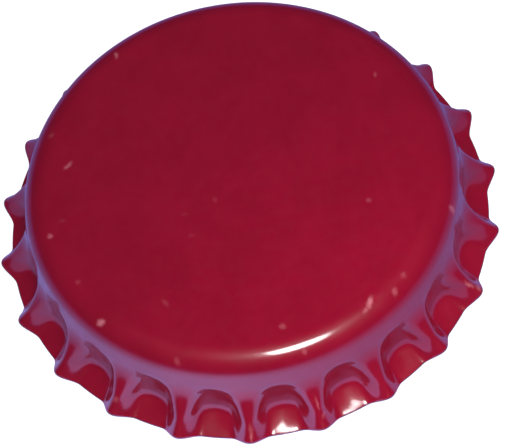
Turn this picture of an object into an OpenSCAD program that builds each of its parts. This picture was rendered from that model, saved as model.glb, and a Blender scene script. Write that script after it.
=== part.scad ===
// Crown bottle cap: a drawn tinplate shell with a fluted skirt, and the sealing liner moulded inside it.
// Millimetres, +Z up, the cap standing on its open end. The origin is on the axis, at the lowest edge.

/* [Crown shell] */
// Diameter over the tips of the teeth
tip_d = 32.1; // [31:0.1:34]
// Height from the lowest edge to the top panel
cap_h = 6.15; // [5.8:0.05:7]
// Inside diameter of the collar that grips the bottle
inside_d = 26.9; // [26.4:0.05:27.4]
// Thickness of the tinplate
plate_t = 0.24; // [0.2:0.01:0.28]
// Outside radius of the shoulder
shoulder_r = 1.7; // [1.4:0.05:1.9]
// Height of the straight collar below the shoulder
collar_h = 0.6; // [0.5:0.05:0.9]

/* [Fluted skirt] */
// Number of flutes around the skirt
flutes = 22; // [18:1:24]
// Diameter over the edge in the valleys
valley_d = 30.7; // [30:0.1:31.4]
// Height of a tooth's tip above the edge in the valleys
tip_rise = 0.62; // [0.3:0.01:0.8]
// Bend radius where a ridge leaves the collar
ridge_bend_r = 1.3; // [0.9:0.05:1.5]
// Height of the flared panel at the foot of a valley
flare_h = 1.66; // [1.4:0.02:1.9]
// Bend radius between a valley's wall and its flared panel
valley_bend_r = 0.9; // [0.6:0.05:1]
// Reach of a ridge to either side of its crest where it leaves the collar, in pitches
reach_top = 0.7; // [0.5:0.01:0.8]
// Reach of a ridge at its waist, in pitches
reach_waist = 0.3; // [0.25:0.01:0.4]
// Reach of a ridge at the rim, in pitches
reach_rim = 0.31; // [0.25:0.01:0.4]
// Share of the way down the sheet where the waist is
waist_at = 0.55; // [0.45:0.01:0.65]
// Share of a ridge's rise that is spread over the whole flute, which hollows a valley from side to side
bowl = 0.4; // [0:0.05:0.5]
// How much later the sheet bends at a valley's sides than in its middle, as a share of the way down
arch = 0.2; // [0:0.01:0.25]
// How far the edge curls up out of the sheet's slope
curl = 0.19; // [0:0.01:0.22]
// Length of sheet that curls up, from the edge
curl_l = 1.55; // [1.3:0.05:1.7]

/* [Liner] */
// Thickness of the liner's flat film
film_t = 0.4; // [0.3:0.05:0.6]
// Depth of the sealing ring below the top panel
ring_depth = 1.15; // [0.9:0.05:1.3]
// Width of the sealing ring
ring_w = 1.9; // [1.5:0.1:2.4]
// Radius of the bead inside the sealing ring
bead_r = 0.45; // [0.3:0.05:0.6]
// Diameter of the circle that the bead follows
bead_d = 19.6; // [18:0.2:20.4]
// Gap between the liner's edge and the collar
liner_gap = 0.1; // [0.05:0.01:0.2]

/* [Hidden] */
$fn = 128;

// Columns of facets across one flute, and facets down a valley's wall, its bend and its panel
columns = 12;
wall_steps = 2;
bend_steps = 3;
panel_steps = 3;
// Step to either side of a point that finds the slope of the sheet there
probe = 0.001;
// The skirt's root stands inside the collar's wall, clear of its faces, and the collar ends above the flutes
root_h = 0.4;
root_inset = 0.01;
seam_h = 0.05;

inside_r = inside_d / 2;
collar_r = inside_r + plate_t;
tip_r = tip_d / 2;
valley_r = valley_d / 2;
inner_shoulder_r = shoulder_r - plate_t;
shoulder_z = cap_h - shoulder_r;
skirt_z = shoulder_z - collar_h;
panel_z = cap_h - plate_t;

// A leg runs straight out of a bend of radius r that starts upright, and ends out further out and down lower.
function leg_length(r, out, down) = sqrt(pow(out - r, 2) + pow(down, 2) - pow(r, 2));
function leg_angle(r, out, down) = atan2(down, r - out) - atan2(leg_length(r, out, down), r);
function arc_length(r, angle) = r * angle * PI / 180;

// The lowest edge is the sheet's inner one, so the outer edge in a valley stands a little above the ground.
flare_out = valley_r - collar_r;
flare_angle = leg_angle(valley_bend_r, flare_out, flare_h);
edge_angle = atan2(sin(flare_angle), cos(flare_angle) - 2 * curl / curl_l);
edge_z = plate_t * sin(edge_angle) - curl;
bend_z = edge_z + flare_h;
ridge_out = tip_r - collar_r;
ridge_drop = skirt_z - edge_z - tip_rise;
ridge_angle = leg_angle(ridge_bend_r, ridge_out, ridge_drop);

// Lengths of sheet down a ridge and down a valley
wall_l = skirt_z - bend_z;
valley_arc_l = arc_length(valley_bend_r, flare_angle);
valley_l = wall_l + valley_arc_l + leg_length(valley_bend_r, flare_out, flare_h);
ridge_l = arc_length(ridge_bend_r, ridge_angle) + leg_length(ridge_bend_r, ridge_out, ridge_drop);

// Places of the rows of facets, as shares of the way down the sheet
wall_share = wall_l / valley_l;
panel_share = wall_share + valley_arc_l / valley_l;
rows = concat(
    [for (i = [0:wall_steps - 1]) wall_share * i / wall_steps],
    [for (i = [0:bend_steps - 1]) wall_share + (panel_share - wall_share) * i / bend_steps],
    [for (i = [0:panel_steps]) panel_share + (1 - panel_share) * i / panel_steps]
);

function clamp(x) = min(max(x, 0), 1);

// Raised cosine, from 1 at the start to 0 at the end of its reach
function swell(off, reach) = (1 + cos(180 * clamp(off / reach))) / 2;

// Radius and height of the sheet's outer face at a distance along a bend and the leg after it
function bend_point(r, z, bend_r, angle, along) =
    let (past = along - arc_length(bend_r, angle), turn = past < 0 ? along / arc_length(bend_r, 1) : angle)
    [
        r + bend_r * (1 - cos(turn)) + max(past, 0) * sin(turn),
        z - bend_r * sin(turn) - max(past, 0) * cos(turn)
    ];

function ridge_point(share) = bend_point(collar_r, skirt_z, ridge_bend_r, ridge_angle, ridge_l * share);

// Down a valley, side runs from 0 in its middle to 1 on a crest
function valley_point(share, side) =
    let (along = valley_l * (share - arch * side * pow(sin(180 * share), 2)))
    along > wall_l
        ? bend_point(collar_r, bend_z, valley_bend_r, flare_angle, along - wall_l)
        : [collar_r, skirt_z - along];

// How far the sheet has gone from valley to ridge, at a number of pitches from a crest
function ridge_weight(off, share) =
    let (
        above = pow(clamp(1 - share / waist_at), 2),
        below = pow(clamp((share - waist_at) / (1 - waist_at)), 2),
        reach = reach_waist + (reach_top - reach_waist) * above + (reach_rim - reach_waist) * below,
        ridge = swell(off, reach)
    )
    ridge + (swell(off, 0.5) - ridge) * bowl * pow(1 - below, 2);

function curl_rise(share) = curl * pow(max(1 - (1 - share) * valley_l / curl_l, 0), 2);

// Outer face of the skirt, and its inner face one sheet further in along the outer face's normal
function outer_point(pitches, share) =
    let (
        off = abs(pitches - round(pitches)),
        weight = ridge_weight(off, share),
        section = valley_point(share, pow(cos(180 * off), 2)) * (1 - weight) + ridge_point(share) * weight,
        turn = 360 * pitches / flutes
    )
    [section[0] * cos(turn), section[0] * sin(turn), section[1] + curl_rise(share)];

function outward(pitches, share) =
    let (
        down = outer_point(pitches, share + probe) - outer_point(pitches, share - probe),
        around = outer_point(pitches + probe, share) - outer_point(pitches - probe, share),
        normal = cross(down, around)
    )
    normal / norm(normal);

function inner_point(pitches, share) = outer_point(pitches, share) - plate_t * outward(pitches, share);

module half_section(r, z, corner_r) {
    square([r - corner_r, z]);
    square([r, z - corner_r]);
    translate([r - corner_r, z - corner_r]) circle(corner_r);
}

module crown_shell() {
    color("firebrick") union() {
        rotate_extrude() collar_section();
        skirt();
    }
}

// Top panel, shoulder and straight collar, down to just above the flutes
module collar_section() {
    difference() {
        half_section(collar_r, cap_h, shoulder_r);
        half_section(inside_r, panel_z, inner_shoulder_r);
        square([tip_d, skirt_z + seam_h]);
    }
}

// Fluted skirt: a closed band of facets that runs down its outer face, round the edge and up its inner face
module skirt() {
    across = flutes * columns;
    root_z = skirt_z + root_h;
    outer_root_r = collar_r - root_inset;
    inner_root_r = inside_r + root_inset;
    ring = [for (c = [0:across - 1]) c / columns];
    last = len(rows) - 1;
    outer = [for (i = [1:last]) [for (c = ring) outer_point(c, rows[i])]];
    inner = [for (i = [last:-1:1]) [for (c = ring) inner_point(c, rows[i])]];
    bands = concat(
        [circle_row(outer_root_r, root_z, across), circle_row(outer_root_r, skirt_z, across)],
        outer,
        inner,
        [circle_row(inner_root_r, skirt_z, across), circle_row(inner_root_r, root_z, across)]
    );
    polyhedron(points = [for (band = bands) each band], faces = band_faces(len(bands), across));
}

function circle_row(r, z, across) = [
    for (c = [0:across - 1])
        [r * cos(360 * c / across), r * sin(360 * c / across), z]
];

// Two triangles between each pair of neighbours on each pair of rows, the last row joining the first
function band_faces(count, across) = [
    for (row = [0:count - 1], c = [0:across - 1])
        let (
            next_c = (c + 1) % across,
            below = (row + 1) % count,
            a = row * across + c,
            b = row * across + next_c,
            d = below * across + c,
            e = below * across + next_c
        )
        each [[a, b, e], [a, e, d]]
];

// Moulded liner: a flat film, a thick ring against the shoulder and a bead inside it
module liner() {
    color("gainsboro") rotate_extrude() intersection() {
        translate([0, panel_z - tip_d]) square([tip_d, tip_d]);
        union() {
            translate([0, panel_z - film_t]) square([collar_r - shoulder_r, film_t]);
            translate([bead_d / 2, panel_z - film_t]) circle(bead_r);
            ring_section();
        }
    }
}

module ring_section() {
    intersection() {
        translate([-liner_gap, 0]) half_section(inside_r, panel_z, inner_shoulder_r);
        translate([inside_r - liner_gap - ring_w, panel_z - ring_depth]) square([ring_w, ring_depth]);
    }
}

crown_shell();
liner();
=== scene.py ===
"""Crown bottle cap: a red enamelled tinplate shell with a fluted skirt, and the sealing liner inside it.

The cap stands on the rim of its skirt, open end down, with +Z up its axis. Shapes are worked out in
millimetres as whole arrays over a grid of two parameters, how many flutes around and how far along the
sheet's section, and they become metres when they are put into a mesh.
"""

import logging
import math
from dataclasses import dataclass, field
from enum import Enum, IntEnum
from typing import Sequence

import bpy
import numpy as np
from mathutils import Matrix, Vector


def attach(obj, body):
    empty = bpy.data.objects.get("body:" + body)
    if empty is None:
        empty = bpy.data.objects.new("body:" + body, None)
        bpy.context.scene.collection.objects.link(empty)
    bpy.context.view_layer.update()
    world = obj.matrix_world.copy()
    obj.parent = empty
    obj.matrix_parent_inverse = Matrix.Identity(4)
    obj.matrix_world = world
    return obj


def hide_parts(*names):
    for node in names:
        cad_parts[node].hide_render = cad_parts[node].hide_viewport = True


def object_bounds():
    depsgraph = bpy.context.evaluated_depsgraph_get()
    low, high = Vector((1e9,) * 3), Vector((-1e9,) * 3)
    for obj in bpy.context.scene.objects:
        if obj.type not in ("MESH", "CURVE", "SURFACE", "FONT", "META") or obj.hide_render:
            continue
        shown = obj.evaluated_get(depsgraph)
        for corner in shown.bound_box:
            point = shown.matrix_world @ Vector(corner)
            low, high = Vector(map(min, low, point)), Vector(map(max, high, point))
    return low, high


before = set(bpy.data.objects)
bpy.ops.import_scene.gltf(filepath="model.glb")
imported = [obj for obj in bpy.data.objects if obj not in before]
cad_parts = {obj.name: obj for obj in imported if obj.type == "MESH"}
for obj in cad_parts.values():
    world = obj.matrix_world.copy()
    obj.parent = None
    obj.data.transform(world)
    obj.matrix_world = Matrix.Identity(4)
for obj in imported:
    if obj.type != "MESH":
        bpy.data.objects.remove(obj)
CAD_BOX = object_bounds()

LOG = logging.getLogger("bottle_cap")
MM = 0.001
BODY = "root"

Triple = tuple[float, float, float]
Colour = Triple
Points = np.ndarray
Link = tuple[bpy.types.NodeSocket, bpy.types.NodeSocket]

WHITE: Colour = (1.0, 1.0, 1.0)
# Range that most values of a noise lie in, and the full range of a share
NOISE_SPAN = (0.3, 0.7)
FULL = (0.0, 1.0)
# A Mix node has sockets for each kind of value, and these are the ones for its share and its colours
MIX_SHARE, MIX_FIRST, MIX_SECOND, MIX_RESULT = 0, 6, 7, 2


def srgb(red: int, green: int, blue: int) -> Colour:
    """Turns a colour in the usual 0 to 255 steps into the linear values that a shader takes.

    The curve is the usual one for screens: a straight line near black, and a power of 2.4 above it.

    Args:
        red: Red, from 0 to 255.
        green: Green, from 0 to 255.
        blue: Blue, from 0 to 255.

    Returns:
        The three linear values.
    """
    shares = [step / 255 for step in (red, green, blue)]
    return tuple(s / 12.92 if s <= 0.04045 else ((s + 0.055) / 1.055) ** 2.4 for s in shares)


# --------------------------------------------------------------------------------------------------
# Sheet metal
# --------------------------------------------------------------------------------------------------


@dataclass(frozen=True)
class BendAndLeg:
    """A section that starts at a lean, bends outwards on a radius and runs straight on to its end.

    Attributes:
        r: Radius from the axis where it starts.
        z: Height where it starts.
        bend_r: Radius of the bend.
        out: How much further out it ends.
        down: How much lower it ends.
        lean: Angle from the vertical at its start, in radians.
    """

    r: float
    z: float
    bend_r: float
    out: float
    down: float
    lean: float = 0.0

    @property
    def end(self) -> tuple[float, float]:
        """The end point, measured square to the starting direction and along it."""
        sine, cosine = math.sin(self.lean), math.cos(self.lean)
        return self.out * cosine - self.down * sine, self.out * sine + self.down * cosine

    @property
    def leg(self) -> float:
        """Length of the straight part: the tangent from the end point to the bend's circle."""
        side, ahead = self.end
        return math.sqrt((side - self.bend_r) ** 2 + ahead**2 - self.bend_r**2)

    @property
    def angle(self) -> float:
        """Angle that the bend turns through, in radians."""
        side, ahead = self.end
        return math.atan2(ahead, self.bend_r - side) - math.atan2(self.leg, self.bend_r)

    @property
    def arc(self) -> float:
        """Length of the bend."""
        return self.bend_r * self.angle

    @property
    def length(self) -> float:
        """Length of the bend and the straight part together."""
        return self.arc + self.leg

    def at(self, along: Points) -> tuple[Points, Points]:
        """Finds points along the section: round the bend's circle, then on along its tangent.

        Args:
            along: Distances from the start.

        Returns:
            Radii and heights.
        """
        turn = np.minimum(along / self.bend_r, self.angle)
        past = np.maximum(along - self.arc, 0.0)
        side = self.bend_r * (1 - np.cos(turn)) + past * np.sin(turn)
        ahead = self.bend_r * np.sin(turn) + past * np.cos(turn)
        sine, cosine = math.sin(self.lean), math.cos(self.lean)
        return self.r + side * cosine + ahead * sine, self.z + side * sine - ahead * cosine


@dataclass
class FlutedSkirt:
    """The skirt's sheet: ridges flare out to teeth, and valleys step in and then flare to a lower edge.

    Attributes:
        collar_r: Outside radius where the skirt leaves the collar.
        collar_z: Height where the skirt leaves the collar.
        tip_r: Radius at the teeth's tips.
        lean: Lean of the collar where the skirt leaves it, in radians.
        flutes: Number of flutes around.
        plate_t: Thickness of the sheet.
        valley_r: Radius of the edge in the valleys.
        tip_rise: Height of a tip above the edge in the valleys.
        ridge_bend_r: Bend radius where a ridge leaves the collar.
        flare_h: Height of the flared panel at the foot of a valley.
        valley_bend_r: Bend radius between a valley's wall and its panel.
        neck_in: How far a valley's wall steps in.
        neck_h: Height over which it steps in.
        neck_late: How much lower it steps in at a valley's sides than in its middle.
        reach_top: Reach of a ridge to either side of its crest where it leaves the collar, in pitches.
        reach_waist: Reach of a ridge at its waist.
        reach_rim: Reach of a ridge at the rim.
        waist_at: Share of the way down the sheet where the waist is.
        bowl: Share of the ridge's rise that is spread over the whole flute, which hollows a valley from
            side to side.
        arch: How much later the sheet bends at a valley's sides than in its middle, as a share of the way
            down.
        curl: How far the edge curls up out of the sheet's slope.
        curl_l: Length of sheet that curls up, from the edge.
    """

    collar_r: float
    collar_z: float
    tip_r: float
    lean: float
    flutes: int = 22
    plate_t: float = 0.24
    valley_r: float = 15.35
    tip_rise: float = 0.62
    ridge_bend_r: float = 2.8
    flare_h: float = 1.66
    valley_bend_r: float = 0.9
    neck_in: float = 0.13
    neck_h: float = 0.4
    neck_late: float = 0.9
    reach_top: float = 0.7
    reach_waist: float = 0.3
    reach_rim: float = 0.31
    waist_at: float = 0.55
    bowl: float = 0.4
    arch: float = 0.2
    curl: float = 0.19
    curl_l: float = 1.55

    def __post_init__(self) -> None:
        """Works out the two sections, with the sheet's lowest point on the ground."""
        out = self.valley_r - self.collar_r + self.neck_in
        panel = BendAndLeg(self.collar_r - self.neck_in, 0.0, self.valley_bend_r, out, self.flare_h)
        last_angle = math.atan2(math.sin(panel.angle), math.cos(panel.angle) - 2 * self.curl / self.curl_l)
        edge_z = self.plate_t * math.sin(last_angle) - self.curl
        self.panel = BendAndLeg(panel.r, edge_z + self.flare_h, panel.bend_r, out, self.flare_h)
        self.wall = self.collar_z - self.panel.z
        self.valley_length = self.wall + self.panel.length
        drop = self.collar_z - edge_z - self.tip_rise
        self.ridge = BendAndLeg(
            self.collar_r, self.collar_z, self.ridge_bend_r, self.tip_r - self.collar_r, drop, self.lean
        )

    def valley_at(self, share: Points, side: Points) -> tuple[Points, Points]:
        """Section down a valley: a cosine step in, a straight wall, then the flared panel.

        Args:
            share: Shares of the way down the sheet.
            side: How far from the valley's middle, from 0 to 1 on a crest.

        Returns:
            Radii and heights.
        """
        along = (share - self.arch * side * np.sin(np.pi * np.clip(share, 0, 1)) ** 2) * self.valley_length
        step = (1 - np.cos(np.pi * np.clip((along - self.neck_late * side) / self.neck_h, 0, 1))) / 2
        radius, height = self.panel.at(np.maximum(along - self.wall, 0))
        on_wall = along < self.wall
        radius = np.where(on_wall, self.collar_r - self.neck_in * step, radius)
        return radius, np.where(on_wall, self.collar_z - along, height)

    def weight(self, pitches: Points, share: Points) -> Points:
        """How far the sheet has gone from valley to ridge: a raised cosine as wide as the ridge is there.

        The ridge's reach runs from its value at the top to the one at the waist, and on to the one at the
        rim, by the square of how far the place is from the waist. A share of the ridge gives way to a
        raised cosine over the whole flute.

        Args:
            pitches: Places around the cap, in flutes, with a crest at each whole number.
            share: Shares of the way down the sheet.

        Returns:
            Weights from 0 in a valley to 1 on a crest.
        """
        above = np.clip(1 - share / self.waist_at, 0, 1) ** 2
        below = np.clip((share - self.waist_at) / (1 - self.waist_at), 0, 1) ** 2
        reach = self.reach_waist
        reach = reach + (self.reach_top - reach) * above + (self.reach_rim - reach) * below
        off = np.abs(pitches - np.round(pitches))
        bowl = self.bowl * (1 - below) ** 2
        ridge, hollow = ((1 + np.cos(np.pi * np.clip(off / width, 0, 1))) / 2 for width in (reach, 0.5))
        return ridge + (hollow - ridge) * bowl

    def outer(self, pitches: Points, share: Points) -> Points:
        """Outer face: the valley's and the ridge's sections, mixed by the weight and turned about the axis.

        The edge curls up by the square of how far a place is into the last stretch of sheet.

        Args:
            pitches: Places around the cap, in flutes.
            share: Shares of the way down the sheet, below 0 on the collar above it.

        Returns:
            Points, with x, y and z along the last axis.
        """
        weight = self.weight(pitches, share)
        valley_r, valley_z = self.valley_at(share, np.cos(np.pi * pitches) ** 2)
        ridge_r, ridge_z = self.ridge.at(share * self.ridge.length)
        radius = valley_r + (ridge_r - valley_r) * weight
        height = valley_z + (ridge_z - valley_z) * weight
        height = height + self.curl * np.maximum(1 - (1 - share) * self.valley_length / self.curl_l, 0) ** 2
        turn = 2 * np.pi * pitches / self.flutes
        return np.stack([radius * np.cos(turn), radius * np.sin(turn), height], axis=-1)

    def slopes(self, pitches: Points, share: Points) -> tuple[Points, Points]:
        """Directions at the outer face, from small steps to either side of each place.

        Args:
            pitches: Places around the cap, in flutes.
            share: Shares of the way down the sheet.

        Returns:
            Unit vectors square to the sheet, outwards, and along the sheet, downwards.
        """
        probe = 1e-4
        down = self.outer(pitches, share + probe) - self.outer(pitches, share - probe)
        around = self.outer(pitches + probe, share) - self.outer(pitches - probe, share)
        normal = np.cross(down, around)
        normal /= np.linalg.norm(normal, axis=-1, keepdims=True)
        return normal, down / np.linalg.norm(down, axis=-1, keepdims=True)


def revolve(profile: Points, turns: Points) -> Points:
    """Turns a section about the axis.

    Args:
        profile: Radii and heights, one row a point.
        turns: Angles around the axis, in radians.

    Returns:
        A grid of points, one row for each point of the section.
    """
    radius = profile[:, :1]
    height = np.broadcast_to(profile[:, 1:], (len(profile), len(turns)))
    return np.stack([radius * np.cos(turns), radius * np.sin(turns), height], axis=-1)


def arc_points(centre: tuple[float, float], radius: float, start: float, end: float, steps: int) -> Points:
    """Points on an arc of a section, from one angle to another.

    Args:
        centre: The arc's centre, as radius and height.
        radius: The arc's radius.
        start: First angle above the horizontal, in degrees.
        end: Last angle, in degrees.
        steps: Number of steps between them.

    Returns:
        Radii and heights, one row a point.
    """
    turn = np.radians(np.linspace(start, end, steps + 1))
    return np.stack([centre[0] + radius * np.cos(turn), centre[1] + radius * np.sin(turn)], axis=-1)


def flat_points(radii: Sequence[float], height: float) -> Points:
    """Points on a level stretch of a section, as radii and heights, one row a point."""
    return np.array([[radius, height] for radius in radii])


def closed_mesh(
    name: str, rows: Points, start_z: float, end_z: float, bands: Sequence[int]
) -> bpy.types.Object:
    """Makes a closed mesh from a grid that runs from a pole on the axis to another pole on the axis.

    Args:
        name: The new object's name.
        rows: Grid of points in millimetres, each row a ring around the axis.
        start_z: Height of the pole before the first row.
        end_z: Height of the pole after the last row.
        bands: Material number of each strip of faces, from the first pole to the last.

    Returns:
        The object, with smooth faces that point outwards.
    """
    count, across = rows.shape[:2]
    poles = np.array([[0.0, 0.0, start_z], [0.0, 0.0, end_z]])
    verts = np.concatenate([rows.reshape(-1, 3), poles]) * MM
    column = np.arange(across)
    following = (column + 1) % across
    first = np.stack([np.full(across, count * across), column, following], axis=-1)
    last_row = (count - 1) * across
    last = np.stack([np.full(across, count * across + 1), last_row + following, last_row + column], axis=-1)
    base = np.arange(count - 1)[:, None] * across
    below = base + across
    quads = np.stack([base + column, below + column, below + following, base + following], axis=-1)
    faces = first.tolist() + quads.reshape(-1, 4).tolist() + last.tolist()
    mesh = bpy.data.meshes.new(name)
    mesh.from_pydata(verts.tolist(), [], faces)
    mesh.polygons.foreach_set("use_smooth", np.ones(len(faces), dtype=bool))
    mesh.polygons.foreach_set("material_index", np.repeat(np.asarray(bands, dtype=np.int32), across))
    mesh.update()
    piece = bpy.data.objects.new(name, mesh)
    bpy.context.scene.collection.objects.link(piece)
    return piece


# --------------------------------------------------------------------------------------------------
# Finishes
# --------------------------------------------------------------------------------------------------


class Blend(Enum):
    """How a Math node joins two values."""

    MULTIPLY = "MULTIPLY"
    MAXIMUM = "MAXIMUM"


def colour_mix(tree: bpy.types.NodeTree, low: Colour = WHITE, high: Colour = WHITE) -> bpy.types.Node:
    """Adds a node that mixes two colours.

    Args:
        tree: The nodes that it joins.
        low: Its first colour, where nothing is linked to it.
        high: Its second colour, where nothing is linked to it.

    Returns:
        The node.
    """
    node = tree.nodes.new("ShaderNodeMix")
    node.data_type = "RGBA"
    node.inputs[MIX_FIRST].default_value = (*low, 1.0)
    node.inputs[MIX_SECOND].default_value = (*high, 1.0)
    return node


def join(tree: bpy.types.NodeTree, links: Sequence[Link]) -> None:
    """Joins outputs to inputs, pair by pair."""
    for source, target in links:
        tree.links.new(source, target)


class NodeBench:
    """Lays out the nodes of one material, all read from Object coordinates."""

    def __init__(self, name: str) -> None:
        """Starts an empty material with a Principled shader and its output.

        Args:
            name: The material's name.
        """
        self.material = bpy.data.materials.new(name)
        self.material.use_nodes = True
        self.tree = self.material.node_tree
        self.tree.nodes.clear()
        self.shader = self.tree.nodes.new("ShaderNodeBsdfPrincipled")
        self.output = self.tree.nodes.new("ShaderNodeOutputMaterial")
        self.link(self.shader.outputs["BSDF"], self.output.inputs["Surface"])
        self.place = self.tree.nodes.new("ShaderNodeTexCoord").outputs["Object"]

    def link(self, source: bpy.types.NodeSocket, target: bpy.types.NodeSocket) -> None:
        """Joins an output to an input."""
        self.tree.links.new(source, target)

    def settle(self, values: dict[str, float | Colour]) -> None:
        """Sets the shader's plain sockets.

        Args:
            values: Socket names and what each is set to.
        """
        for socket, value in values.items():
            self.shader.inputs[socket].default_value = (*value, 1.0) if isinstance(value, tuple) else value

    def noise(
        self, grain_mm: float, detail: float = 3.0, stretch: Triple = (1.0, 1.0, 1.0)
    ) -> bpy.types.NodeSocket:
        """Noise in space.

        Args:
            grain_mm: Size of its patches.
            detail: How many finer layers it has.
            stretch: Factors on its coordinates.

        Returns:
            A value from about 0.2 to 0.8.
        """
        mapping = self.tree.nodes.new("ShaderNodeMapping")
        mapping.inputs["Scale"].default_value = stretch
        node = self.tree.nodes.new("ShaderNodeTexNoise")
        node.inputs["Scale"].default_value = 1 / (grain_mm * MM)
        node.inputs["Detail"].default_value = detail
        self.link(self.place, mapping.inputs["Vector"])
        self.link(mapping.outputs["Vector"], node.inputs["Vector"])
        return node.outputs["Fac"]

    def ramp(
        self, value: bpy.types.NodeSocket, source: tuple[float, float], target: tuple[float, float]
    ) -> bpy.types.NodeSocket:
        """Maps one range of a value onto another, held at its ends.

        Args:
            value: The value.
            source: Where the range starts and ends.
            target: What those two become.

        Returns:
            The mapped value.
        """
        node = self.tree.nodes.new("ShaderNodeMapRange")
        node.interpolation_type = "SMOOTHSTEP"
        for socket, number in zip(("From Min", "From Max", "To Min", "To Max"), (*source, *target)):
            node.inputs[socket].default_value = number
        self.link(value, node.inputs["Value"])
        return node.outputs["Result"]

    def math(
        self, how: Blend, first: bpy.types.NodeSocket, second: bpy.types.NodeSocket | float
    ) -> bpy.types.NodeSocket:
        """Joins two values.

        Args:
            how: How they are joined.
            first: One value.
            second: The other, a socket or a number.

        Returns:
            The result.
        """
        node = self.tree.nodes.new("ShaderNodeMath")
        node.operation = how.value
        self.link(first, node.inputs[0])
        if isinstance(second, float):
            node.inputs[1].default_value = second
        else:
            self.link(second, node.inputs[1])
        return node.outputs["Value"]

    def tint(
        self,
        share: bpy.types.NodeSocket,
        low: bpy.types.NodeSocket | Colour,
        high: bpy.types.NodeSocket | Colour,
    ) -> bpy.types.NodeSocket:
        """Mixes two colours.

        Args:
            share: How much of the second.
            low: The first colour.
            high: The second colour.

        Returns:
            The mixed colour.
        """
        node = colour_mix(self.tree)
        self.link(share, node.inputs[MIX_SHARE])
        for socket, colour in ((node.inputs[MIX_FIRST], low), (node.inputs[MIX_SECOND], high)):
            if isinstance(colour, tuple):
                socket.default_value = (*colour, 1.0)
            else:
                self.link(colour, socket)
        return node.outputs[MIX_RESULT]

    def bump(
        self, height: bpy.types.NodeSocket, depth_mm: float, under: bpy.types.NodeSocket | None = None
    ) -> bpy.types.NodeSocket:
        """Relief too fine for the mesh.

        Args:
            height: Height from 0 to 1.
            depth_mm: How high 1 stands.
            under: Relief that this one is added to.

        Returns:
            The normal.
        """
        node = self.tree.nodes.new("ShaderNodeBump")
        node.inputs["Strength"].default_value = 1.0
        node.inputs["Distance"].default_value = depth_mm * MM
        self.link(height, node.inputs["Height"])
        if under is not None:
            self.link(under, node.inputs["Normal"])
        return node.outputs["Normal"]


@dataclass(frozen=True)
class EnamelMark:
    """A small mark on the enamel. Most are flakes, scratches and flecks of dust; a few are painted glints,
    pale streaks that stand in for light caught on the enamel.

    Attributes:
        x: Place across the cap, in millimetres.
        y: Place along the cap, in millimetres.
        z: Height, in millimetres.
        length: Length, in millimetres.
        width: Width, in millimetres.
        lean: Turn about the vertical, in degrees.
        show: How strongly it shows, from 0 to 1.
    """

    x: float
    y: float
    z: float
    length: float
    width: float
    lean: float
    show: float


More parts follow.
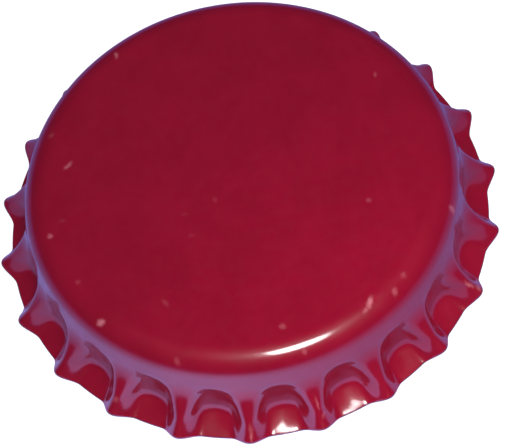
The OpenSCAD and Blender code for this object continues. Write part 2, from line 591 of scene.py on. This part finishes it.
@dataclass(frozen=True)
class Enamel:
    """Glossy red enamel over tinplate, with faint orange peel, and pale marks: flakes and scratches where
    it is rubbed, and a few painted glints that stand in for light.

    Attributes:
        name: The material's name.
        deep: Darker colour of its mottle.
        bright: Brighter colour of its mottle.
        wear_and_glint_colour: Colour of a mark: bare tin where the enamel has flaked, and painted light
            where a mark is a glint.
        roughness: Lowest and highest roughness of sound enamel, under its gloss.
        mark_roughness: Roughness of a mark, bare tin and painted glint alike.
        mottle_mm: Size of the mottle's patches.
        grain_mm: Size of the patches in its roughness.
        peel_mm: Size of the orange peel's waves.
        peel_depth_mm: Height of the orange peel.
        ragged_mm: Size of the notches in a mark's outline, and how far they reach.
        mark_reach_mm: How far above and below its centre a mark reaches.
        mark_depth_mm: How deep a mark is.
        mark_fade: Where a mark starts to fade and where it ends, with its own outline at 1.
        sockets: What the shader's plain sockets are set to.
        wear_and_glints: The marks, wear and painted glints.
    """

    name: str = "red_enamel"
    deep: Colour = srgb(148, 5, 38)
    bright: Colour = srgb(155, 7, 42)
    wear_and_glint_colour: Colour = srgb(216, 122, 136)
    roughness: tuple[float, float] = (0.3, 0.4)
    mark_roughness: float = 0.7
    mottle_mm: float = 2.6
    grain_mm: float = 0.6
    peel_mm: float = 0.35
    peel_depth_mm: float = 0.0006
    ragged_mm: float = 0.25
    mark_reach_mm: float = 0.5
    mark_depth_mm: float = 0.02
    mark_fade: tuple[float, float] = (0.2, 1.3)
    sockets: dict[str, float | Colour] = field(
        default_factory=lambda: {
            "Metallic": 0.0,
            "IOR": 1.5,
            "Specular IOR Level": 0.3,
            "Coat Weight": 1.0,
            "Coat Roughness": 0.09,
            "Coat IOR": 1.7,
        }
    )
    wear_and_glints: tuple[EnamelMark, ...] = ()

    def wear_and_glint_mask(self, bench: NodeBench) -> bpy.types.NodeSocket:
        """Where the enamel carries a mark, wear and painted glints alike: the strongest of all marks, each
        a ragged spot round its own centre.

        A mark is an ellipsoid that fades from its middle outwards. Its outline is ragged because each
        place is first moved by a fine noise, which is a half on average, so that half of it is taken off.

        Args:
            bench: The material's nodes.

        Returns:
            A value, 0 on sound enamel.
        """
        notch = self.ragged_mm * MM
        ragged = bench.tree.nodes.new("ShaderNodeTexNoise")
        ragged.inputs["Scale"].default_value = 1 / notch
        bench.link(bench.place, ragged.inputs["Vector"])
        jitter = bench.tree.nodes.new("ShaderNodeVectorMath")
        jitter.operation = "MULTIPLY_ADD"
        jitter.inputs[1].default_value = (notch,) * 3
        bench.link(ragged.outputs["Color"], jitter.inputs[0])
        bench.link(bench.place, jitter.inputs[2])
        total = None
        for enamel_mark in self.wear_and_glints:
            mapping = bench.tree.nodes.new("ShaderNodeMapping")
            mapping.vector_type = "TEXTURE"
            centre = (enamel_mark.x, enamel_mark.y, enamel_mark.z)
            reaches = (enamel_mark.length / 2, enamel_mark.width / 2, self.mark_reach_mm)
            mapping.inputs["Location"].default_value = [along * MM + notch / 2 for along in centre]
            mapping.inputs["Rotation"].default_value = (0.0, 0.0, math.radians(enamel_mark.lean))
            mapping.inputs["Scale"].default_value = [reach * MM for reach in reaches]
            away = bench.tree.nodes.new("ShaderNodeVectorMath")
            away.operation = "LENGTH"
            bench.link(jitter.outputs["Vector"], mapping.inputs["Vector"])
            bench.link(mapping.outputs["Vector"], away.inputs[0])
            spot = bench.ramp(away.outputs["Value"], self.mark_fade, (enamel_mark.show, 0.0))
            total = spot if total is None else bench.math(Blend.MAXIMUM, total, spot)
        return total

    def make(self) -> bpy.types.Material:
        """Builds the material.

        Returns:
            The material.
        """
        bench = NodeBench(self.name)
        bench.settle(self.sockets)
        mottle = bench.ramp(bench.noise(self.mottle_mm, detail=4.0), NOISE_SPAN, FULL)
        colour = bench.tint(mottle, self.deep, self.bright)
        # Pale marks: wear, and painted glints and highlight streaks that stand in for light on the shoulder
        # and crests
        marked = self.wear_and_glint_mask(bench)
        colour = bench.tint(marked, colour, self.wear_and_glint_colour)
        bench.link(colour, bench.shader.inputs["Base Color"])
        grain = bench.ramp(bench.noise(self.grain_mm, detail=5.0), NOISE_SPAN, self.roughness)
        marked_rough = bench.math(Blend.MULTIPLY, marked, self.mark_roughness)
        bench.link(bench.math(Blend.MAXIMUM, grain, marked_rough), bench.shader.inputs["Roughness"])
        peel = bench.bump(bench.noise(self.peel_mm, detail=2.0), self.peel_depth_mm)
        bench.link(bench.bump(marked, -self.mark_depth_mm, peel), bench.shader.inputs["Normal"])
        return bench.material


@dataclass(frozen=True)
class BareTin:
    """Tinplate under a thin clear lacquer, with the rolled sheet's fine streaks.

    Attributes:
        name: The material's name.
        base: Colour between the streaks.
        shade: Colour of the streaks.
        roughness: Lowest and highest roughness.
        streak_mm: Width of the streaks.
        streak_stretch: Factors on their coordinates, which draw them out along Y.
        streak_depth_mm: Height of the streaks.
    """

    name: str
    base: Colour
    shade: Colour
    roughness: tuple[float, float] = (0.26, 0.42)
    streak_mm: float = 0.12
    streak_stretch: Triple = (1.0, 0.04, 1.0)
    streak_depth_mm: float = 0.0015

    def make(self) -> bpy.types.Material:
        """Builds the material.

        Returns:
            The material.
        """
        bench = NodeBench(self.name)
        bench.settle({"Metallic": 1.0, "Coat Weight": 0.35, "Coat Roughness": 0.2, "Coat IOR": 1.5})
        streaks = bench.noise(self.streak_mm, detail=4.0, stretch=self.streak_stretch)
        share = bench.ramp(streaks, NOISE_SPAN, FULL)
        bench.link(bench.tint(share, self.base, self.shade), bench.shader.inputs["Base Color"])
        bench.link(bench.ramp(streaks, NOISE_SPAN, self.roughness), bench.shader.inputs["Roughness"])
        bench.link(bench.bump(streaks, self.streak_depth_mm), bench.shader.inputs["Normal"])
        return bench.material


@dataclass(frozen=True)
class Compound:
    """Soft, slightly see-through sealing compound with faint flow marks.

    Attributes:
        name: The material's name.
        base: Its colour.
        shade: Colour of the flow marks.
        roughness: Lowest and highest roughness.
        flow_mm: Size of the flow marks.
        flow_span: Values of their noise that become the two colours.
        flow_depth_mm: Height of the flow marks.
        grain_mm: Size of the patches in its roughness.
    """

    name: str = "liner_compound"
    base: Colour = srgb(214, 214, 208)
    shade: Colour = srgb(198, 200, 196)
    roughness: tuple[float, float] = (0.38, 0.52)
    flow_mm: float = 1.8
    flow_span: tuple[float, float] = (0.35, 0.65)
    flow_depth_mm: float = 0.01
    grain_mm: float = 0.3

    def make(self) -> bpy.types.Material:
        """Builds the material.

        Returns:
            The material.
        """
        bench = NodeBench(self.name)
        bench.settle({"Metallic": 0.0, "IOR": 1.46, "Subsurface Weight": 0.15, "Subsurface Scale": 0.0006})
        flow = bench.noise(self.flow_mm)
        share = bench.ramp(flow, self.flow_span, FULL)
        bench.link(bench.tint(share, self.base, self.shade), bench.shader.inputs["Base Color"])
        grain = bench.ramp(bench.noise(self.grain_mm), NOISE_SPAN, self.roughness)
        bench.link(grain, bench.shader.inputs["Roughness"])
        bench.link(bench.bump(flow, self.flow_depth_mm), bench.shader.inputs["Normal"])
        return bench.material


# --------------------------------------------------------------------------------------------------
# The cap's two pieces
# --------------------------------------------------------------------------------------------------

# Marks on the enamel, each with its place, its length and width, its lean and how strongly it shows.
# Most are wear and dust; the pale streaks on the front shoulder and down the two front crests are painted
# glints and highlights.
WEAR_AND_GLINTS = (
    EnamelMark(-10.4, 2.9, 6.1, 0.8, 0.3, 40, 0.5),
    EnamelMark(-12.1, -1.9, 6.1, 0.4, 0.4, 0, 0.5),
    EnamelMark(-10.8, -5.5, 6.1, 0.4, 0.4, 0, 0.16),
    EnamelMark(-9.8, -8.45, 6.0, 0.65, 0.5, 0, 0.95),
    EnamelMark(-5.7, -8.1, 6.1, 0.75, 0.35, -55, 0.12),
    EnamelMark(-5.6, -12.0, 5.9, 0.45, 0.6, 0, 0.25),
    EnamelMark(-6.35, 10.5, 6.1, 0.3, 0.65, 0, 0.6),
    EnamelMark(-11.2, 5.4, 6.1, 0.4, 0.4, 0, 0.17),
    EnamelMark(9.6, 5.25, 6.1, 0.3, 0.45, 0, 0.24),
    EnamelMark(1.0, -11.2, 6.1, 0.45, 0.5, 0, 0.26),
    EnamelMark(2.0, -12.85, 5.5, 0.35, 0.5, 0, 0.4),
    EnamelMark(-1.7, -1.6, 6.1, 0.35, 0.5, 0, 0.08),
    EnamelMark(-3.7, -2.2, 6.1, 0.5, 0.3, 0, 0.05),
    EnamelMark(-11.25, -1.0, 6.1, 0.45, 0.3, 0, 0.07),
    EnamelMark(-3.5, -3.8, 6.1, 0.5, 0.35, 0, 0.06),
    # Scratches on the front shoulder, with the glint of light that they catch painted into their pale
    # colour
    EnamelMark(6.4, -10.65, 5.9, 0.95, 0.38, 62, 0.85),
    EnamelMark(6.05, -11.1, 5.8, 0.6, 0.32, 50, 0.5),
    EnamelMark(8.0, -10.15, 5.85, 0.6, 0.38, 80, 0.34),
    EnamelMark(8.7, -9.2, 5.85, 0.4, 0.45, 0, 0.24),
    EnamelMark(12.5, -4.95, 5.3, 0.5, 0.5, 0, 0.5),
    EnamelMark(7.6, -3.7, 6.1, 0.4, 0.4, 0, 0.2),
    EnamelMark(12.0, -8.6, 2.2, 0.35, 0.35, 0, 0.5),
    EnamelMark(12.7, -8.3, 1.5, 0.9, 0.25, -20, 0.5),
    EnamelMark(13.3, -8.4, 1.0, 0.4, 0.4, 0, 0.45),
    EnamelMark(-9.9, -11.5, 1.3, 0.45, 0.4, 0, 0.5),
    # Painted highlights: pale streaks down the crests of the two ridges at the front, light painted into
    # the colour
    EnamelMark(-2.1, -15.2, 1.3, 1.5, 0.28, 82, 0.3),
    EnamelMark(-2.15, -15.5, 1.0, 0.6, 0.2, 82, 0.5),
    EnamelMark(2.15, -14.6, 2.0, 1.0, 0.22, 98, 0.35),
    EnamelMark(2.4, -15.1, 1.2, 0.5, 0.25, 60, 0.3),
)


class ShellSlot(IntEnum):
    """Material slots of the shell's finishes."""

    ENAMEL = 0
    EDGE = 1
    INSIDE = 2


@dataclass
class CrownShell:
    """The drawn tinplate shell: one sheet, from the panel over the shoulder to the rim, and back inside.

    Attributes:
        height: Height of the panel.
        tip_r: Radius at the teeth's tips.
        inside_r: Inside radius at the top of the collar.
        shoulder_r: Outside radius of the shoulder.
        collar_h: Height of the collar.
        draft: Lean of the collar from the vertical, in degrees.
        edge_r: Rounding of the sheet's cut edge.
        columns: Columns of faces across one flute.
        panel_rings: Rings of points on the panel, as shares of its flat's radius.
        under_rings: Rings of points under the panel, as shares of the same radius.
        shoulder_steps: Steps round the shoulder's outer face.
        inner_steps: Steps round its inner face.
        collar_steps: Steps down the collar.
        outer_rows: Rings of points down the skirt's outer face.
        inner_rows: Rings of points up its inner face.
        edge_rows: Rings of points round each corner of the cut edge.
    """

    height: float
    tip_r: float
    inside_r: float = 13.45
    shoulder_r: float = 1.7
    collar_h: float = 0.6
    draft: float = 10.0
    edge_r: float = 0.06
    columns: int = 32
    panel_rings: tuple[float, ...] = (0.06, 0.3, 0.6, 0.85, 0.96, 0.99)
    under_rings: tuple[float, ...] = (0.98, 0.7, 0.3, 0.06)
    shoulder_steps: int = 20
    inner_steps: int = 12
    collar_steps: int = 4
    outer_rows: int = 36
    inner_rows: int = 31
    edge_rows: int = 6

    def __post_init__(self) -> None:
        """Hangs the skirt under the collar, which runs straight on from the shoulder, out by its lean.

        The shoulder's bend ends where its slope is the collar's.
        """
        lean = math.radians(self.draft)
        plate = FlutedSkirt.plate_t
        self.centre = (self.inside_r - (self.shoulder_r - plate), self.height - self.shoulder_r)
        collar_z = self.centre[1] - self.collar_h
        arc_end_r = self.centre[0] + self.shoulder_r * math.cos(lean)
        fall = self.centre[1] + self.shoulder_r * math.sin(lean) - collar_z
        self.skirt = FlutedSkirt(arc_end_r + fall * math.tan(lean), collar_z, self.tip_r, lean)

    def top_section(self) -> Points:
        """Outer section from the panel out over the shoulder and down the collar.

        Returns:
            Radii and heights, one row a point, ending at the skirt.
        """
        flat = flat_points([share * self.centre[0] for share in self.panel_rings], self.height)
        shoulder = arc_points(self.centre, self.shoulder_r, 90, self.draft, self.shoulder_steps)
        foot = np.array([self.skirt.collar_r, self.skirt.collar_z])
        shares = np.linspace(0, 1, self.collar_steps + 1)[1:, None]
        collar = shoulder[-1] + shares * (foot - shoulder[-1])
        return np.concatenate([flat, shoulder, collar])

    def under_section(self) -> Points:
        """Inner section round inside the shoulder and in under the panel.

        Returns:
            Radii and heights, one row a point, starting at the top of the collar.
        """
        plate = self.skirt.plate_t
        shoulder = arc_points(self.centre, self.shoulder_r - plate, self.draft, 90, self.inner_steps)
        flat = flat_points([share * self.centre[0] for share in self.under_rings], self.height - plate)
        return np.concatenate([shoulder, flat])

    def skirt_rows(self, pitches: Points) -> tuple[Points, Points, Points]:
        """Rings of points down the skirt's outer face, round its cut edge and back up its inner face.

        The inner face stands one sheet in from the outer one, square to it, and the edge is a quarter
        circle at each corner of the cut.

        Args:
            pitches: Places around the cap, in flutes.

        Returns:
            Grids of the outer face, the edge and the inner face.
        """
        skirt = self.skirt
        setback = self.edge_r / skirt.valley_length
        grid, share = np.meshgrid(pitches, np.linspace(0, 1 - setback, self.outer_rows + 1)[1:])
        outer = skirt.outer(grid, share)
        normal, down = skirt.slopes(pitches, np.ones_like(pitches))
        rim = skirt.outer(pitches, np.ones_like(pitches))
        turn = np.radians(np.linspace(90 / self.edge_rows, 90, self.edge_rows))[:, None, None]
        near = rim - self.edge_r * ((1 - np.cos(turn)) * normal + (1 - np.sin(turn)) * down)
        far_depth = skirt.plate_t - self.edge_r * (1 - np.cos(turn[::-1]))
        far = rim - far_depth * normal - self.edge_r * (1 - np.sin(turn[::-1])) * down
        grid, share = np.meshgrid(pitches, np.linspace(1 - setback, 0, self.inner_rows))
        inner = skirt.outer(grid, share) - skirt.plate_t * skirt.slopes(grid, share)[0]
        return outer, np.concatenate([near, far]), inner

    def build(self) -> bpy.types.Object:
        """Makes the shell's mesh and dresses it.

        Returns:
            The finished piece.
        """
        across = self.skirt.flutes * self.columns
        pitches = np.arange(across) / self.columns
        turns = 2 * np.pi * pitches / self.skirt.flutes
        top, under = revolve(self.top_section(), turns), revolve(self.under_section(), turns)
        outer, edge, inner = self.skirt_rows(pitches)
        rows = np.concatenate([top, outer, edge, inner, under])
        bands = (
            [ShellSlot.ENAMEL] * (len(top) + len(outer))
            + [ShellSlot.EDGE] * (len(edge) + 1)
            + [ShellSlot.INSIDE] * (len(inner) + len(under))
        )
        piece = closed_mesh("crown_shell_sheet", rows, self.height, self.height - self.skirt.plate_t, bands)
        finishes = {
            ShellSlot.ENAMEL: Enamel(wear_and_glints=WEAR_AND_GLINTS),
            ShellSlot.EDGE: BareTin("cut_edge", base=srgb(176, 160, 172), shade=srgb(150, 130, 146)),
            ShellSlot.INSIDE: BareTin("inner_lacquer", base=srgb(205, 200, 186), shade=srgb(190, 184, 168)),
        }
        for slot in ShellSlot:
            piece.data.materials.append(finishes[slot].make())
        return piece


@dataclass
class Liner:
    """The moulded liner: a flat film with a bead, and a thick ring that fills the shoulder.

    Attributes:
        panel_z: Height of the panel's underside, which it is moulded against.
        shoulder_z: Height of the centre of the shoulder's bend.
        inside_r: Inside radius of the collar.
        inner_shoulder_r: Inside radius of the shoulder.
        film_t: Thickness of the film.
        ring_depth: Depth of the ring below the panel.
        ring_w: Width of the ring.
        bead_r: Radius of the bead.
        bead_at: Radius of the circle that the bead follows.
        bead_sunk: How far the bead's centre is above the film's underside.
        ring_flat: Part of half the ring's width that its rounded corners leave flat.
        ring_inset: How far in from the liner's edge the ring's outer corner stands.
        gap: Gap between the liner and the collar.
        film_rings: Radii of the rings of points under the film.
        web_rings: The same between the bead and the ring.
        back_rings: The same against the panel.
        bend_steps: Steps round each bend of the ring.
        bead_steps: Steps round the bead.
        columns: Columns of faces around.
    """

    panel_z: float
    shoulder_z: float
    inside_r: float
    inner_shoulder_r: float
    film_t: float = 0.4
    ring_depth: float = 1.15
    ring_w: float = 1.9
    bead_r: float = 0.45
    bead_at: float = 9.8
    bead_sunk: float = 0.1
    ring_flat: float = 0.1
    ring_inset: float = 0.06
    gap: float = 0.1
    film_rings: tuple[float, ...] = (0.6, 3.0, 6.0, 8.6, 9.2)
    web_rings: tuple[float, ...] = (10.4, 10.9, 11.3)
    back_rings: tuple[float, ...] = (11.0, 8.0, 4.0, 0.6)
    bend_steps: int = 10
    bead_steps: int = 12
    columns: int = 288

    def section(self) -> Points:
        """Section from the film's underside out over the bead and the ring, and back in along the panel.

        The bead is the lower part of a circle, the ring hangs between two rounded corners, and the back
        fills the inside of the shoulder's bend.

        Returns:
            Radii and heights, one row a point.
        """
        film_z = self.panel_z - self.film_t
        outer_r = self.inside_r - self.gap
        round_r = self.ring_w / 2 - self.ring_flat
        ring_z = self.panel_z - self.ring_depth + round_r
        ring_in, ring_out = outer_r - self.ring_w + round_r, outer_r - round_r - self.ring_inset
        bead_centre = (self.bead_at, film_z + self.bead_sunk)
        back_centre = (outer_r - self.inner_shoulder_r, self.shoulder_z)
        return np.concatenate(
            [
                flat_points(self.film_rings, film_z),
                arc_points(bead_centre, self.bead_r, 194, 346, self.bead_steps),
                flat_points(self.web_rings, film_z),
                arc_points((ring_in, ring_z), round_r, 185, 270, self.bend_steps),
                arc_points((ring_out, ring_z), round_r, 275, 350, self.bend_steps),
                arc_points(back_centre, self.inner_shoulder_r, 38, 90, self.bend_steps),
                flat_points(self.back_rings, self.panel_z),
            ]
        )

    def build(self) -> bpy.types.Object:
        """Makes the liner's mesh and dresses it.

        The section starts underneath, so it is turned the other way round for the faces to point outwards.

        Returns:
            The finished piece.
        """
        turns = np.arange(self.columns) * 2 * np.pi / self.columns
        rows = revolve(self.section(), -turns)
        bands = [0] * (len(rows) + 1)
        piece = closed_mesh("liner_moulding", rows, self.panel_z - self.film_t, self.panel_z, bands)
        piece.data.materials.append(Compound().make())
        return piece


# --------------------------------------------------------------------------------------------------
# Studio
# --------------------------------------------------------------------------------------------------


@dataclass(frozen=True)
class SoftBox:
    """A rectangular lamp that faces the cap.

    Attributes:
        name: Its name.
        bearing: Direction to it about the vertical, in degrees from +X.
        lift: Its height above the horizontal, in degrees.
        distance: Distance in metres.
        width: Width in metres.
        height: Height in metres.
        radiance: How bright its face is, where 1 is white.
        spread: Angle that its beam fans out to, in degrees.
        target: The point that it faces, in millimetres.
        mirrored: Whether polished surfaces mirror its face.
    """

    name: str
    bearing: float
    lift: float
    distance: float
    width: float
    height: float
    radiance: float
    spread: float = 180.0
    target: Triple = (0.0, 0.0, 0.0)
    mirrored: bool = True

    def build(self) -> bpy.types.Object:
        """Makes the lamp, whose power is its radiance times pi times its area.

        Returns:
            The lamp's object.
        """
        lamp = bpy.data.lights.new(self.name, "AREA")
        lamp.shape = "RECTANGLE"
        lamp.size, lamp.size_y = self.width, self.height
        lamp.energy = self.radiance * math.pi * self.width * self.height
        lamp.spread = math.radians(self.spread)
        holder = bpy.data.objects.new(self.name, lamp)
        holder.visible_camera = False
        holder.visible_glossy = self.mirrored
        place = direction(self.bearing, self.lift) * self.distance
        away = place - Vector(self.target) * MM
        holder.matrix_world = Matrix.Translation(place) @ away.to_track_quat("Z", "Y").to_matrix().to_4x4()
        bpy.context.scene.collection.objects.link(holder)
        return holder


def direction(bearing: float, lift: float) -> Vector:
    """A unit vector from its two angles.

    Args:
        bearing: Angle about the vertical from +X, in degrees.
        lift: Angle above the horizontal, in degrees.

    Returns:
        The vector.
    """
    turn, rise = math.radians(bearing), math.radians(lift)
    return Vector((math.cos(rise) * math.cos(turn), math.cos(rise) * math.sin(turn), math.sin(rise)))


@dataclass
class Studio:
    """A pale floor, a soft world, lamps and the camera.

    Attributes:
        lamps: The lamps.
        floor_r: Radius of the floor, in metres.
        floor_colour: Colour of the floor.
        floor_glow: Light that the floor adds where the camera sees it.
        floor_near: Light of the floor in polished surfaces, at its brightest place.
        floor_far: Light of the floor in polished surfaces, far from that place.
        floor_pool: The brightest place, in metres.
        floor_fade: Distance from that place at which the light is halfway between the two, in metres.
        floor_sides: Number of sides of the round floor.
        sky: Light of the world on matt surfaces.
        sky_low: Colour of the world near the horizon, in polished surfaces.
        sky_high: Colour of the world overhead, in polished surfaces.
        sky_fade: Height, as the sine of its angle, at which the one has become the other.
        focal_mm: Focal length of the camera.
        sensor_mm: Width of the camera's sensor.
        camera_bearing: Direction to the camera about the vertical, in degrees from +X.
        camera_lift: Camera's height above the horizontal, in degrees.
        camera_reach: Distance from the camera to the point that it looks at, in metres.
        camera_roll: Turn of the camera about its line of sight, clockwise, in degrees.
        aim: The point that it looks at, in millimetres.
    """

    lamps: tuple[SoftBox, ...] = (
        SoftBox(
            "window_front",
            bearing=-75,
            lift=62.5,
            distance=0.4,
            width=0.12,
            height=0.135,
            radiance=0.7,
            spread=24.0,
            target=(8.0, -13.0, 4.0),
        ),
        SoftBox(
            "front_fill",
            bearing=-80,
            lift=72,
            distance=0.1,
            width=0.03,
            height=0.03,
            radiance=0.6,
            spread=30.0,
            target=(9.0, -18.0, 6.0),
            mirrored=False,
        ),
    )
    floor_r: float = 1.5
    floor_colour: Colour = (0.45, 0.45, 0.46)
    floor_glow: float = 0.82
    floor_near: Colour = (0.85, 0.75, 1.75)
    floor_far: Colour = (0.08, 0.06, 0.3)
    floor_pool: Triple = (-0.006, -0.020, 0.0)
    floor_fade: float = 0.014
    floor_sides: int = 96
    sky: float = 0.19
    sky_low: Colour = (0.03, 0.01, 0.08)
    sky_high: Colour = (0.02, 0.02, 0.06)
    sky_fade: float = 0.35
    focal_mm: float = 177.3
    sensor_mm: float = 36.0
    camera_bearing: float = -88.5
    camera_lift: float = 59.26
    camera_reach: float = 0.16296
    camera_roll: float = 12.16
    aim: Triple = (0.986, -1.994, 3.016)

    def floor_light(self, tree: bpy.types.NodeTree) -> bpy.types.NodeSocket:
        """Light of the floor in polished surfaces, brightest at the pool and dimmer all round it.

        The share of the near light is one over one plus the square of the distance from the pool, with
        the distance counted in fades. The rest is the far light.

        Args:
            tree: The nodes of the floor's material.

        Returns:
            The colour.
        """
        place = tree.nodes.new("ShaderNodeTexCoord")
        away = tree.nodes.new("ShaderNodeVectorMath")
        away.operation = "DISTANCE"
        away.inputs[1].default_value = self.floor_pool
        fades, spans, share = (tree.nodes.new("ShaderNodeMath") for _ in range(3))
        fades.operation = "MULTIPLY"
        fades.inputs[1].default_value = 1 / self.floor_fade
        spans.operation = "MULTIPLY_ADD"
        spans.inputs[2].default_value = 1.0
        share.operation = "DIVIDE"
        share.inputs[0].default_value = 1.0
        light = colour_mix(tree, self.floor_far, self.floor_near)
        links = (
            (place.outputs["Object"], away.inputs[0]),
            (away.outputs["Value"], fades.inputs[0]),
            (fades.outputs["Value"], spans.inputs[0]),
            (fades.outputs["Value"], spans.inputs[1]),
            (spans.outputs["Value"], share.inputs[1]),
            (share.outputs["Value"], light.inputs[MIX_SHARE]),
        )
        join(tree, links)
        return light.outputs[MIX_RESULT]

    def floor_material(self) -> bpy.types.Material:
        """Matt pale floor that the camera sees as white, and that polished surfaces see by its own light.

        Returns:
            The material.
        """
        material = bpy.data.materials.new("studio_floor")
        material.use_nodes = True
        tree = material.node_tree
        tree.nodes.clear()
        matt = tree.nodes.new("ShaderNodeBsdfDiffuse")
        matt.inputs["Color"].default_value = (*self.floor_colour, 1.0)
        white = tree.nodes.new("ShaderNodeEmission")
        white.inputs["Color"].default_value = (*(self.floor_glow,) * 3, 1.0)
        seen = tree.nodes.new("ShaderNodeAddShader")
        path = tree.nodes.new("ShaderNodeLightPath")
        sheen = tree.nodes.new("ShaderNodeEmission")
        polished = tree.nodes.new("ShaderNodeMath")
        polished.operation = "MAXIMUM"
        choice = tree.nodes.new("ShaderNodeMixShader")
        output = tree.nodes.new("ShaderNodeOutputMaterial")
        links = (
            (matt.outputs["BSDF"], seen.inputs[0]),
            (path.outputs["Is Camera Ray"], white.inputs["Strength"]),
            (white.outputs["Emission"], seen.inputs[1]),
            (self.floor_light(tree), sheen.inputs["Color"]),
            (path.outputs["Is Glossy Ray"], polished.inputs[0]),
            (path.outputs["Is Transmission Ray"], polished.inputs[1]),
            (polished.outputs["Value"], choice.inputs[0]),
            (seen.outputs["Shader"], choice.inputs[1]),
            (sheen.outputs["Emission"], choice.inputs[2]),
            (choice.outputs["Shader"], output.inputs["Surface"]),
        )
        join(tree, links)
        return material

    def build_floor(self) -> bpy.types.Object:
        """Makes the round floor at the height of the cap's rim.

        Returns:
            The floor.
        """
        turns = np.linspace(0, 2 * np.pi, self.floor_sides + 1)[:-1]
        ring = np.stack([np.cos(turns), np.sin(turns), np.zeros_like(turns)], axis=-1) * self.floor_r
        mesh = bpy.data.meshes.new("floor")
        mesh.from_pydata(ring.tolist(), [], [list(range(len(turns)))])
        floor = bpy.data.objects.new("floor", mesh)
        floor.data.materials.append(self.floor_material())
        bpy.context.scene.collection.objects.link(floor)
        return floor

    def build_world(self) -> None:
        """Makes a sky that is white for the camera, even for matt surfaces and graded for polished ones."""
        world = bpy.data.worlds.new("studio_sky")
        bpy.context.scene.world = world
        world.use_nodes = True
        tree = world.node_tree
        tree.nodes.clear()
        path = tree.nodes.new("ShaderNodeLightPath")
        place = tree.nodes.new("ShaderNodeTexCoord")
        split = tree.nodes.new("ShaderNodeSeparateXYZ")
        fade = tree.nodes.new("ShaderNodeMapRange")
        fade.inputs["From Max"].default_value = self.sky_fade
        graded = colour_mix(tree, self.sky_low, self.sky_high)
        lighting = colour_mix(tree, low=(self.sky,) * 3)
        seen = colour_mix(tree, high=WHITE)
        background = tree.nodes.new("ShaderNodeBackground")
        output = tree.nodes.new("ShaderNodeOutputWorld")
        links = (
            (place.outputs["Generated"], split.inputs["Vector"]),
            (split.outputs["Z"], fade.inputs["Value"]),
            (fade.outputs["Result"], graded.inputs[MIX_SHARE]),
            (path.outputs["Is Glossy Ray"], lighting.inputs[MIX_SHARE]),
            (graded.outputs[MIX_RESULT], lighting.inputs[MIX_SECOND]),
            (path.outputs["Is Camera Ray"], seen.inputs[MIX_SHARE]),
            (lighting.outputs[MIX_RESULT], seen.inputs[MIX_FIRST]),
            (seen.outputs[MIX_RESULT], background.inputs["Color"]),
            (background.outputs["Background"], output.inputs["Surface"]),
        )
        join(tree, links)

    def build_camera(self) -> bpy.types.Object:
        """Makes the camera, which looks down on the cap and is rolled a little.

        Returns:
            The camera.
        """
        data = bpy.data.cameras.new("camera")
        data.lens = self.focal_mm
        data.sensor_width = self.sensor_mm
        data.clip_start = 0.01
        data.clip_end = 10.0
        camera = bpy.data.objects.new("camera", data)
        away = direction(self.camera_bearing, self.camera_lift)
        place = Vector(self.aim) * MM + away * self.camera_reach
        turn = away.to_track_quat("Z", "Y").to_matrix().to_4x4()
        roll = Matrix.Rotation(-math.radians(self.camera_roll), 4, "Z")
        camera.matrix_world = Matrix.Translation(place) @ turn @ roll
        bpy.context.scene.collection.objects.link(camera)
        bpy.context.scene.camera = camera
        return camera

    def build(self) -> None:
        """Sets up the whole studio."""
        self.build_floor()
        self.build_world()
        for lamp in self.lamps:
            lamp.build()
        self.build_camera()
        bpy.context.scene.view_settings.view_transform = "Standard"


def main() -> None:
    """Builds the cap's pieces and the studio, in order."""
    logging.basicConfig(level=logging.INFO, format="%(name)s: %(message)s")
    _, (reach, _, height) = CAD_BOX
    shell = CrownShell(height=height / MM, tip_r=reach / MM)
    liner = Liner(
        panel_z=shell.height - shell.skirt.plate_t,
        shoulder_z=shell.height - shell.shoulder_r,
        inside_r=shell.inside_r,
        inner_shoulder_r=shell.shoulder_r - shell.skirt.plate_t,
    )
    pieces = (
        (shell.build(), "crown_shell", "red_enamel"),
        (liner.build(), "liner", "liner_compound"),
    )
    for piece, node, slot in pieces:
        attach(piece, BODY)
        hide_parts(node)
        LOG.info("%s stands for %s, with %d faces", piece.name, node, len(piece.data.polygons))
    Studio().build()


if __name__ == "__main__":
    main()
